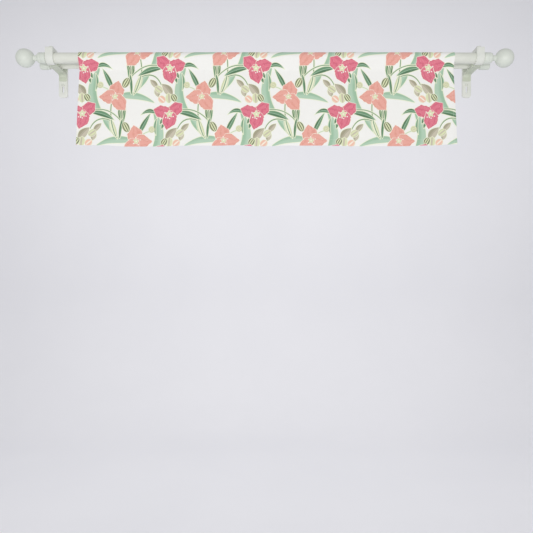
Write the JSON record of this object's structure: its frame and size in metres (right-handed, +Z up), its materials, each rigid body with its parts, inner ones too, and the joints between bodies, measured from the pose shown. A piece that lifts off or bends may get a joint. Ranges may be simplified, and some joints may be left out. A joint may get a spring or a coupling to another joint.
{
  "type": "window valance with double curtain rod",
  "caption": "Flat printed cloth valance with a rod pocket, hung on the thick front rod of a double curtain rod with ball ends, a thin back rod and slotted wall brackets.",
  "frame": {"origin": "on the back face of the left wall plate, in its middle line, at the height of the front rod's axis", "axes": "+X along the rods from the left bracket to the right one, +Y towards the wall, +Z up"},
  "size_m": [1.7906, 0.159, 0.3593],
  "materials": {
    "printed_cloth": "matt plain-weave polyester, white ground with a printed floral in pinks and greens",
    "rod_paint": "off-white satin enamel on steel tube",
    "ball_paint": "off-white satin enamel, slightly greyer than the rods",
    "bracket_paint": "off-white satin enamel on cast metal",
    "screw_paint": "off-white painted steel screws"
  },
  "bodies": {
    "root": {"valance": "printed_cloth", "front_rod": "rod_paint", "back_rod": "rod_paint", "finial_left": "ball_paint", "finial_right": "ball_paint", "back_rod_cap_left": "ball_paint", "back_rod_cap_right": "ball_paint", "wall_plate_left": "bracket_paint", "wall_plate_right": "bracket_paint", "bracket_arm_left": "bracket_paint", "bracket_arm_right": "bracket_paint", "front_ring_left": "bracket_paint", "front_ring_right": "bracket_paint", "back_cup_left": "bracket_paint", "back_cup_right": "bracket_paint", "thumb_screw_left": "screw_paint", "thumb_screw_right": "screw_paint", "wall_screw_left": "screw_paint", "wall_screw_right": "screw_paint"}
  },
  "joints": []
}
